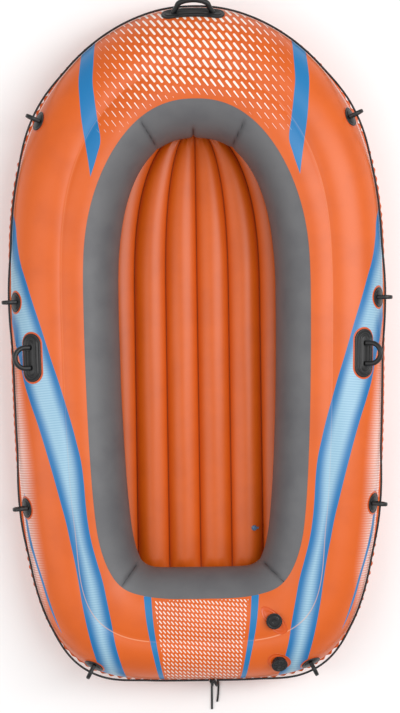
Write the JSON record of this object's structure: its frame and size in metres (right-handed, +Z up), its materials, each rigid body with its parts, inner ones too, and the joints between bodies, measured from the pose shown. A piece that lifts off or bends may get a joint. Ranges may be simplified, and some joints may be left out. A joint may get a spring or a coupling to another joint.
{
  "type": "inflatable boat",
  "caption": "Oval two-chamber inflatable boat with a ribbed air floor, grey cockpit lining, oarlocks, bow handle and a grab line through rope eyes.",
  "frame": {"origin": "middle of the boat's outline, on the ground that it rests on", "axes": "+X to starboard, +Y to the bow, +Z up"},
  "size_m": [1.1184, 2.088, 0.2694],
  "materials": {
    "orange_pvc": "satin calendered PVC film, welded",
    "grey_pvc": "satin calendered PVC film, welded",
    "black_fitting": "moulded soft PVC, fine grain",
    "black_rope": "braided polypropylene cord",
    "black_valve": "moulded plastic, fine grain",
    "clear_valve": "moulded soft PVC, translucent"
  },
  "bodies": {
    "hull": {"hull_top_panel": "orange_pvc", "hull_bottom_panel": "orange_pvc", "chamber_baffle": "orange_pvc", "seam_flange": "orange_pvc", "floor_top_sheet": "orange_pvc", "floor_bottom_sheet": "orange_pvc", "floor_web_1": "orange_pvc", "floor_web_2": "orange_pvc", "floor_web_3": "orange_pvc", "floor_web_4": "orange_pvc", "floor_web_5": "orange_pvc", "cockpit_wall_panel": "grey_pvc", "rope_patch_1": "black_fitting", "rope_patch_2": "black_fitting", "rope_patch_3": "black_fitting", "rope_patch_4": "black_fitting", "rope_patch_5": "black_fitting", "rope_patch_6": "black_fitting", "rope_patch_7": "black_fitting", "rope_patch_8": "black_fitting", "rope_eye_1": "black_fitting", "rope_eye_2": "black_fitting", "rope_eye_3": "black_fitting", "rope_eye_4": "black_fitting", "rope_eye_5": "black_fitting", "rope_eye_6": "black_fitting", "rope_eye_7": "black_fitting", "rope_eye_8": "black_fitting", "oarlock_base_starboard": "black_fitting", "oarlock_ring_starboard": "black_fitting", "oarlock_base_port": "black_fitting", "oarlock_ring_port": "black_fitting", "bow_handle_base": "black_fitting", "bow_handle_grip": "black_fitting", "bow_rope_eye": "black_fitting", "grab_line": "black_rope", "stern_knot": "black_rope", "rope_tail_long": "black_rope", "rope_tail_short": "black_rope", "outer_valve_base": "black_valve", "inner_valve_base": "black_valve", "floor_valve_base": "clear_valve"},
    "outer_valve_seal": {"outer_valve_seal": "black_valve"},
    "outer_valve_insert": {"outer_valve_insert": "black_valve"},
    "outer_valve_flap": {"outer_valve_flap": "black_valve"},
    "outer_valve_strap": {"outer_valve_strap": "black_valve"},
    "outer_valve_cap": {"outer_valve_cap": "black_valve"},
    "inner_valve_seal": {"inner_valve_seal": "black_valve"},
    "inner_valve_insert": {"inner_valve_insert": "black_valve"},
    "inner_valve_flap": {"inner_valve_flap": "black_valve"},
    "inner_valve_strap": {"inner_valve_strap": "black_valve"},
    "inner_valve_cap": {"inner_valve_cap": "black_valve"},
    "floor_valve_stem": {"floor_valve_stem": "clear_valve", "floor_valve_strap": "clear_valve"},
    "floor_valve_plug": {"floor_valve_plug": "clear_valve"}
  },
  "joints": [
    {"name": "outer_insert_lift", "type": "slide", "parent": "hull", "child": "outer_valve_seal", "axis": [0.1006, -0.5068, 0.8562], "range_m": [0, 0.008]},
    {"name": "outer_insert_turn", "type": "hinge", "parent": "outer_valve_seal", "child": "outer_valve_insert", "pos_m": [0.21777, -0.91577, 0.23009], "axis": [0.1006, -0.5068, 0.8562], "range_deg": [0, 720]},
    {"name": "outer_flap_swing", "type": "hinge", "parent": "outer_valve_insert", "child": "outer_valve_flap", "pos_m": [0.22893, -0.90781, 0.22076], "axis": [0.1667, -0.8398, -0.5167], "range_deg": [0, 40], "stiffness_Nm_per_rad": 0.002, "springref_deg": -5.73},
    {"name": "outer_cap_lift", "type": "slide", "parent": "outer_valve_insert", "child": "outer_valve_strap", "axis": [0.1006, -0.5068, 0.8562], "range_m": [0, 0.006]},
    {"name": "outer_cap_turn", "type": "hinge", "parent": "outer_valve_strap", "child": "outer_valve_cap", "pos_m": [0.21777, -0.91577, 0.23009], "axis": [0.1006, -0.5068, 0.8562], "range_deg": [0, 720]},
    {"name": "inner_insert_lift", "type": "slide", "parent": "hull", "child": "inner_valve_seal", "axis": [0, 0, 1], "range_m": [0, 0.008]},
    {"name": "inner_insert_turn", "type": "hinge", "parent": "inner_valve_seal", "child": "inner_valve_insert", "pos_m": [0.20458, -0.79499, 0.2435], "axis": [0, 0, 1], "range_deg": [0, 720]},
    {"name": "inner_flap_swing", "type": "hinge", "parent": "inner_valve_insert", "child": "inner_valve_flap", "pos_m": [0.21631, -0.7907, 0.2326], "axis": [0.3434, -0.9392, 0], "range_deg": [0, 40], "stiffness_Nm_per_rad": 0.002, "springref_deg": -5.73},
    {"name": "inner_cap_lift", "type": "slide", "parent": "inner_valve_insert", "child": "inner_valve_strap", "axis": [0, 0, 1], "range_m": [0, 0.006]},
    {"name": "inner_cap_turn", "type": "hinge", "parent": "inner_valve_strap", "child": "inner_valve_cap", "pos_m": [0.20458, -0.79499, 0.2435], "axis": [0, 0, 1], "range_deg": [0, 720]},
    {"name": "floor_stem_pull", "type": "slide", "parent": "hull", "child": "floor_valve_stem", "axis": [0.378, 0, 0.9258], "range_m": [0, 0.01]},
    {"name": "floor_plug_pull", "type": "slide", "parent": "floor_valve_stem", "child": "floor_valve_plug", "axis": [0.378, 0, 0.9258], "range_m": [0, 0.012]}
  ],
  "couplings": [
    {"joint": "outer_insert_lift", "follows": "outer_insert_turn", "m_per_rad": 0.00063662},
    {"joint": "outer_cap_lift", "follows": "outer_cap_turn", "m_per_rad": 0.00047746},
    {"joint": "inner_insert_lift", "follows": "inner_insert_turn", "m_per_rad": 0.00063662},
    {"joint": "inner_cap_lift", "follows": "inner_cap_turn", "m_per_rad": 0.00047746}
  ]
}
